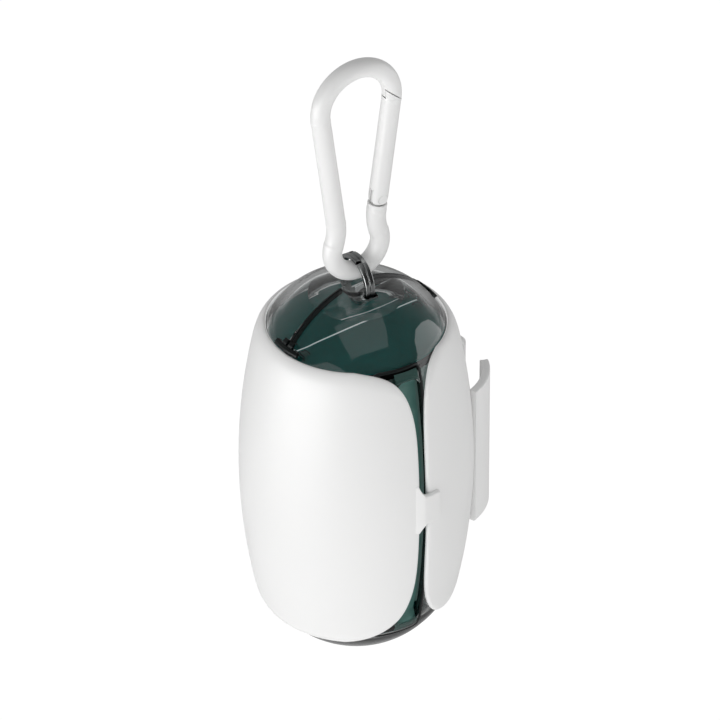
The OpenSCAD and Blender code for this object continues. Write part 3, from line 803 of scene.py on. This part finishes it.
def clear_half(name, node, body):
    """The solids' half in finer faces, with its walls' true normals, flatter shoulder and turned joint."""
    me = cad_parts[node].data.copy()
    me.name = name
    p = vertex_places(me.vertices)
    rho = np.hypot(p[:, 0], p[:, 1])
    turn = turned(np.arctan2(p[:, 1], p[:, 0]))
    q = np.stack([rho * np.cos(turn), rho * np.sin(turn), p[:, 2] - shoulder_drop(rho, p[:, 2])], -1)
    me.vertices.foreach_set("co", metres(q).ravel())
    lines = wall_lines()
    bm = bmesh.new()
    bm.from_mesh(me)
    bmesh.ops.triangulate(bm, faces=bm.faces)

    def walls():
        """Which wall face each vertex lies on: 0 outside, 1 inside, -1 neither."""
        c = vertex_places(bm.verts)
        kind = np.full(len(c), -1)
        for k, line in enumerate(lines):
            kind[nearest(line, np.hypot(c[:, 0], c[:, 1]), c[:, 2])[1] < WALL_NEAR] = k
        return c, kind

    # long chords of a wall face are split and their middles moved onto it, in ever finer rounds
    for longest in (6.0, 3.0, 1.6, 1.1):
        c, kind = walls()
        bm.verts.ensure_lookup_table()
        bm.edges.ensure_lookup_table()
        ends = np.array([(e.verts[0].index, e.verts[1].index) for e in bm.edges])
        span = np.linalg.norm(c[ends[:, 0]] - c[ends[:, 1]], axis=1)
        pick = (kind[ends[:, 0]] >= 0) & (kind[ends[:, 0]] == kind[ends[:, 1]]) & (span > longest)
        mid = (c[ends[:, 0]] + c[ends[:, 1]]) / 2
        for k, line in enumerate(lines):
            sel = np.nonzero(pick & (kind[ends[:, 0]] == k))[0]
            far = nearest(line, np.hypot(mid[sel, 0], mid[sel, 1]), mid[sel, 2])[1]
            pick[sel] = far < CHORD_NEAR
        picked = np.nonzero(pick)[0]
        if not len(picked):
            continue
        long_edges = [bm.edges[i] for i in picked]
        middles = {tuple(np.round(mid[i], 3)): kind[ends[i, 0]] for i in picked}
        old = len(bm.verts)
        bmesh.ops.subdivide_edges(bm, edges=long_edges, cuts=1)
        bmesh.ops.triangulate(bm, faces=bm.faces)
        bm.verts.ensure_lookup_table()
        new = vertex_places(bm.verts[old:])
        which = np.array([middles.get(tuple(np.round(m, 3)), -1) for m in new])
        for k, line in enumerate(lines):
            sel = np.nonzero(which == k)[0]
            r = np.hypot(new[sel, 0], new[sel, 1])
            i, _ = nearest(line, r, new[sel, 2])
            scale = line[0][i] / np.maximum(r, 1e-6)
            x, y, z = new[sel, 0] * scale, new[sel, 1] * scale, line[1][i] - HANG_Z
            for v, place in zip(sel, np.stack([x, y, z], -1)):
                bm.verts[old + int(v)].co = Vector(place) * 0.001
    c = vertex_places(bm.verts)
    bm.to_mesh(me)
    bm.free()
    me.update()
    me.polygons.foreach_set("use_smooth", [True] * len(me.polygons))
    loops = len(me.loops)
    vert = np.empty(loops, int)
    me.loops.foreach_get("vertex_index", vert)
    flat = np.empty(len(me.polygons) * 3)
    me.polygons.foreach_get("normal", flat)
    normal = np.repeat(flat.reshape(-1, 3), 3, axis=0)
    az = np.arctan2(c[:, 1], c[:, 0])
    for k, line in enumerate(lines):
        i, far = nearest(line, np.hypot(c[:, 0], c[:, 1]), c[:, 2])
        n = np.stack([line[2][i, 0] * np.cos(az), line[2][i, 0] * np.sin(az), line[2][i, 1]], -1)
        ok = (far[vert] < WALL_NEAR) & ((n[vert] * normal).sum(1) > WALL_FACING)
        normal[ok] = n[vert][ok]
    me.normals_split_custom_set(normal.tolist())
    me.materials.clear()
    me.materials.append(SMOKE)
    ob = put(name, me)
    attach(ob, body)
    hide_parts(node)
    return ob


clear_half("clear_half_front", "front_shell", "front_half")
clear_half("clear_half_rear", "rear_shell", "rear_half")


# ---------------------------------------------------------------- seam, shelves and latches of the capsule
def joint_point(x, y, z):
    """Point given beside the joint, on the turned capsule with its flatter shoulder."""
    rho = np.hypot(x, y)
    turn = turned(np.arctan2(y, x))
    return np.stack([rho * np.cos(turn), rho * np.sin(turn), z - shoulder_drop(rho, z)], -1)


STRIP_FRONT, STRIP_BACK = -0.38, 0.04  # the seal's sides, from the joint
STRIP_PROUD, STRIP_DEEP, STRIP_SHARE = 0.03, 0.25, 0.93


def seam_strip(name, body):
    """Dark strip where the halves of the capsule meet, over the dome, down both sides and round the bottom:
    the joint, painted black as the shade in it.
    """
    b = Build()
    s = np.linspace(-LEN_ALL * STRIP_SHARE, LEN_ALL * STRIP_SHARE, 260)
    rho, z, _ = outline(s, STRIP_PROUD)
    rho_in, z_in, _ = outline(s, -WALL - STRIP_DEEP)
    corners = (
        (rho, z, STRIP_FRONT),
        (rho, z, STRIP_BACK),
        (rho_in, z_in, STRIP_BACK),
        (rho_in, z_in, STRIP_FRONT),
    )
    for side in (1, -1):
        g = np.stack([joint_point(side * r, np.full_like(s, y), zz) for r, zz, y in corners])
        b.grid(g, wrap_v=True, flip=(side > 0))
    return b.make(name, DARK_PARTS_AND_SHADE, body)


seam_strip("seam_line_front", "front_half")

FLOOR_Z, FLOOR_T = CHAMBER + SHELF_T + 0.06, 0.25
FLOOR_RIM = ((0.35, 0.0), (0.1, 0.06), (0.0, 0.3))  # how far in from its rim a floor has dropped by how much


def shelf_disc(name, side, body):
    """Smooth floor of a shelf, one half disc, above and below the roll."""
    b = Build()
    wall_z, wall_r = outline(S_TABLE + 1e-9, -WALL)[1], outline(S_TABLE, -WALL)[0]
    r = float(np.interp(FLOOR_Z, wall_z, wall_r)) - 0.05
    ang = np.linspace(0, math.pi, 90)
    for up in (1, -1):
        rows = []
        for reach, drop in [(0.0, 0.0)] + [(r - inset, drop) for inset, drop in FLOOR_RIM]:
            z = np.full(90, up * (FLOOR_Z + FLOOR_T - drop))
            rows.append(joint_point(reach * np.cos(ang), side * (0.12 + reach * np.sin(ang)), z))
        b.grid(np.stack(rows), flip=(side * up > 0))
    return b.make(name, SHELF, body)


shelf_disc("shelf_floor_front", -1, "front_half")
shelf_disc("shelf_floor_rear", 1, "rear_half")

LIP_HALF = 16.6
LIP_PROFILE = ((-0.28, 0.0), (-0.24, 0.12), (-0.12, 0.16), (0.0, 0.12), (0.03, 0.0))  # from the joint, and up


def shelf_lip():
    """Edge of the front shelf along the joint, with a painted highlight: a light grey colour that glows."""
    b = Build()
    xs = np.linspace(-LIP_HALF, LIP_HALF, 80)
    for up in (1, -1):
        heights = [up * (FLOOR_Z + FLOOR_T + h) for _, h in LIP_PROFILE]
        lines = [joint_point(xs, np.full(80, y), np.full(80, z)) for (y, _), z in zip(LIP_PROFILE, heights)]
        b.grid(np.stack(lines), flip=(up < 0))
    return b.make("shelf_lip_front", GLOWING_LIP, "front_half")


shelf_lip()


def on_front(x, z, t):
    """Point on the capsule's front that lies t outside it, at x and z."""
    rho, zz, _ = outline(arc_at(z, 0.0), t)
    th = -np.arccos(np.clip(x / rho, -1, 1))
    return np.stack([rho * np.cos(th), rho * np.sin(th), zz - shoulder_drop(rho, zz)], -1)


WINDOW_TOP, WINDOW_SIDE, WINDOW_CORNER = 34.1, 3.05, 0.7
WINDOW_STRETCH = 2.2  # how much further the window reaches to the left, under the sleeve
# section of its dark edge: away from the window's outline, and out from the capsule
WINDOW_SECTION = ((0.02, 0.04), (-0.62, 0.04), (-0.62, -0.5), (0.02, -0.5))
TAIL_HALF_W, TAIL_DEPTH, TAIL_RISE = 2.75, 2.0, 1.85  # the film's tail rises to the wall at its two ends


def window_edge():
    """Cut edge of the window in the front half's wall, painted black as shade, and the film's tail behind it.
    """
    c = WINDOW_CORNER
    quarter = [(0.0, WINDOW_TOP)]
    for a in np.linspace(0, math.pi / 2, 7):
        quarter.append((WINDOW_SIDE - c + c * math.sin(a), WINDOW_TOP - c + c * math.cos(a)))
    quarter = np.array(quarter + [(WINDOW_SIDE, 0.0)])
    path = np.vstack([quarter, quarter[::-1][1:] * [1, -1]])
    path = np.vstack([path, path[::-1] * [-WINDOW_STRETCH, 1]])
    path = smooth_line(path, 700, 0.15)
    g = np.gradient(path, axis=0)
    n = np.stack([g[:, 1], -g[:, 0]], -1)
    n /= np.maximum(np.linalg.norm(n, axis=1, keepdims=True), 1e-9)
    b = Build()
    rows = [on_front(*(path + n * w).T, np.full(len(path), t)) for w, t in WINDOW_SECTION]
    b.grid(np.stack(rows), wrap_v=True)
    b.make("window_edge", DARK_PARTS_AND_SHADE, "front_half")
    b = Build()
    half_h = WINDOW_TOP - 0.5
    xs, zs = np.meshgrid(np.linspace(-TAIL_HALF_W, TAIL_HALF_W, 30), np.linspace(-half_h, half_h, 160))
    ends = np.clip((np.abs(zs) - 30.0) / 2.0, 0, 1)
    sag = 0.10 * np.sin(zs * 0.55 + 0.8 * xs) + 0.06 * np.sin(zs * 1.3 - xs)
    b.grid(on_front(xs, zs, -TAIL_DEPTH + TAIL_RISE * ease(ends) + sag * (1 - ends)))
    b.make("film_tail", TEAL, "front_half")


window_edge()


# each catch: degrees from the joint, heights, and how far it stands out
CATCHES = (
    (-11.5, 11.0, 35.45, 36.5, 0.55),
    (0.6, 4.6, 36.5, 37.6, 0.45),
    (-5.2, -1.4, 36.5, 37.6, 0.45),
)
CATCH_SINK = -0.3


def latches():
    """Small catches at both ends of the joint, just clear of the sleeve's rims."""
    b = Build()
    for end, way in ((0.0, -1), (math.pi, 1)):
        mid = end + SEAM_TURN_SHELL
        outward = [math.sin(mid), -math.cos(mid), 0]
        for up in (1, -1):
            for from_deg, to_deg, z0, z1, out in CATCHES:
                th = np.linspace(mid + math.radians(from_deg) * way, mid + math.radians(to_deg) * way, 24)
                s0, s1 = (float(arc_at(z, 0.0)) for z in (z0, z1))
                section = (
                    (s0, CATCH_SINK),
                    (s0, out),
                    ((s0 + s1) / 2, out + 0.05),
                    (s1, out - 0.1),
                    (s1, CATCH_SINK),
                )
                lines = []
                for s, t in section:
                    p, _ = on_capsule(th, np.full(24, s * up), np.full(24, t))
                    p[:, 2] -= shoulder_drop(np.hypot(p[:, 0], p[:, 1]), p[:, 2])
                    lines.append(p)
                g = np.stack(lines)
                b.grid(g, wrap_v=True, flip=(up * way > 0))
                for e in (0, -1):
                    b.fan(g[:, e], outward, flip=(e == 0))
    return b.make("joint_catches", DARK_PARTS_AND_SHADE, "front_half")


latches()


# ---------------------------------------------------------------- studio
def studio():
    """White to the camera and, below the horizon, through the plastic; dim to gloss; soft on all else."""
    world = bpy.data.worlds.new("studio")
    bpy.context.scene.world = world
    world.use_nodes = True
    nt = world.node_tree
    nt.nodes.clear()
    ray = add(nt, "LightPath").outputs
    way = add(nt, "TexCoord").outputs["Generated"]

    def along(axis):
        return add(nt, "VectorMath", {0: way, 1: axis}, operation="DOT_PRODUCT").outputs["Value"]

    def light(strength):
        return add(nt, "Background", {"Color": (1, 1, 1, 1), "Strength": strength}).outputs["Background"]

    height = add(nt, "SeparateXYZ", {"Vector": way}).outputs["Z"]
    through = either(nt, ray["Is Camera Ray"], mapped(nt, height, 1.0, 0.30, -0.12, 0.08))
    # gloss sees most light behind the dispenser, low and towards +X
    gloss = mapped(nt, along((0.35, 0.85, -0.40)), 0.03, 0.35, -0.15, 0.45)
    # soft light is stronger from below than from above, as over a white table
    soft = mapped(nt, along((-0.1, -0.1, -0.99)), 0.36, 0.88, -1.0, 1.0)
    unseen = blend(nt, ray["Is Glossy Ray"], light(soft), light(gloss))
    seen = either(nt, ray["Is Camera Ray"], ray["Is Transmission Ray"])
    add(nt, "OutputWorld", {"Surface": blend(nt, seen, unseen, light(through))})


studio()

TARGET = Vector((0.00068, -0.00042, -0.0715))  # metres, in the frame
BACK = Vector((-0.4330, -0.6930, 0.5764)).normalized()  # from the target to the camera
CAMERA_AWAY, VIEW_WIDTH, SENSOR, CLIP_END = 2.0, 0.1522, 36.0, 20.0


def toward(azimuth, elevation):
    """Direction from degrees. Azimuth 0 is the slot's side, and rises towards +X."""
    a, e = math.radians(azimuth), math.radians(elevation)
    return math.sin(a) * math.cos(e), -math.cos(a) * math.cos(e), math.sin(e)


def lamp(name, azimuth, elevation, distance, power, size, size_y):
    """Softbox that faces the dispenser."""
    d = Vector(toward(azimuth, elevation))
    data = bpy.data.lights.new(name, "AREA")
    data.shape = "RECTANGLE"
    data.size = size
    data.size_y = size_y
    data.energy = power
    ob = put(name, data)
    ob.location = TARGET + d * distance
    ob.rotation_euler = d.to_track_quat("Z", "Y").to_euler()


lamp("key", -70, -10, 0.9, 3.8, 0.35, 0.9)
lamp("fill", -30, -12, 1.1, 0.3, 0.6, 0.6)

CARD_AWAY, DOME_MIDDLE = 0.9, 0.035  # metres


def card(name, strength, *corners):
    """Glowing card that only gloss sees, with its corners at these (azimuth, elevation) from the dome."""
    rays = [toward(*corner) for corner in corners]
    pts = np.vstack([rays, np.mean(rays, axis=0)[None]]) * CARD_AWAY + [0, 0, DOME_MIDDLE - HANG_Z * 0.001]
    k = len(rays)
    me = bpy.data.meshes.new(name)
    me.from_pydata(pts.tolist(), [], [(i, (i + 1) % k, k) for i in range(k)])
    ob = put(name, me)
    m, nt = new_material(name, empty=True)
    light = add(nt, "Emission", {"Strength": strength})
    add(nt, "OutputMaterial", {"Surface": light.outputs["Emission"]})
    me.materials.append(m)
    for kind in ("camera", "diffuse", "transmission", "shadow", "volume_scatter"):
        setattr(ob, "visible_" + kind, False)


def overhead(x, y):
    """Azimuth and elevation of a point one unit above the dome."""
    return math.degrees(math.atan2(x, -y)), math.degrees(math.atan2(1, math.hypot(x, y)))


CARD_SIDE = (
    (56, 26), (71, 30), (83, 24), (93, 13), (97, 0), (93, -6), (77, -12), (57, -22), (48, -32), (42, -32),
    (39, 0), (44, 16),
)
CARD_ABOVE = (
    (-0.42, 0.09), (0.02, 0.02), (0.46, -0.08), (0.42, -0.48), (0.36, -0.95), (-0.17, -0.93), (-0.72, -0.90),
    (-0.58, -0.42),
)
CARD_LEFT = ((-92, 22), (-84, 28), (-72, 35), (-57, 35), (-47, 31), (-42, 20), (-50, 8), (-85, 8))
card("card_side", 2.3, *CARD_SIDE)
card("card_above", 0.85, *[overhead(x, y) for x, y in CARD_ABOVE])
card("card_left", 1.0, *CARD_LEFT)
card("card_low", 7.0, (-118, 0), (-60, 0), (-60, -72), (-118, -72))

FLOOR_DEPTH, FLOOR_REACH = -0.30, 3.0  # metres
FLOOR_GLOW, GLOW_IN_GLOSS, GLOW_SHARE = 1.13, 0.35, 0.85  # its light, that light in reflections, its share


def floor():
    """White floor that glows, less so in reflections."""
    me = bpy.data.meshes.new("floor")
    corners = ((-1, -1), (1, -1), (1, 1), (-1, 1))
    me.from_pydata([(x * FLOOR_REACH, y * FLOOR_REACH, FLOOR_DEPTH) for x, y in corners], [], [(0, 1, 2, 3)])
    ob = put("floor", me)
    m, nt = new_material("floor_white", empty=True)
    strength = mapped(nt, add(nt, "LightPath").outputs["Is Glossy Ray"], FLOOR_GLOW, GLOW_IN_GLOSS)
    light = add(nt, "Emission", {"Color": (1, 1, 1, 1), "Strength": strength}).outputs["Emission"]
    dull = add(nt, "BsdfDiffuse", {"Color": (0.9, 0.9, 0.9, 1)}).outputs["BSDF"]
    add(nt, "OutputMaterial", {"Surface": blend(nt, GLOW_SHARE, dull, light)})
    me.materials.append(m)


floor()

cam_data = bpy.data.cameras.new("camera")
cam_data.sensor_width = SENSOR
cam_data.lens = SENSOR * CAMERA_AWAY / VIEW_WIDTH
cam_data.clip_end = CLIP_END
cam = put("camera", cam_data)
cam.location = TARGET + BACK * CAMERA_AWAY
cam.rotation_euler = BACK.to_track_quat("Z", "Y").to_euler()
scene = bpy.context.scene
scene.camera = cam
scene.view_settings.view_transform = "Standard"
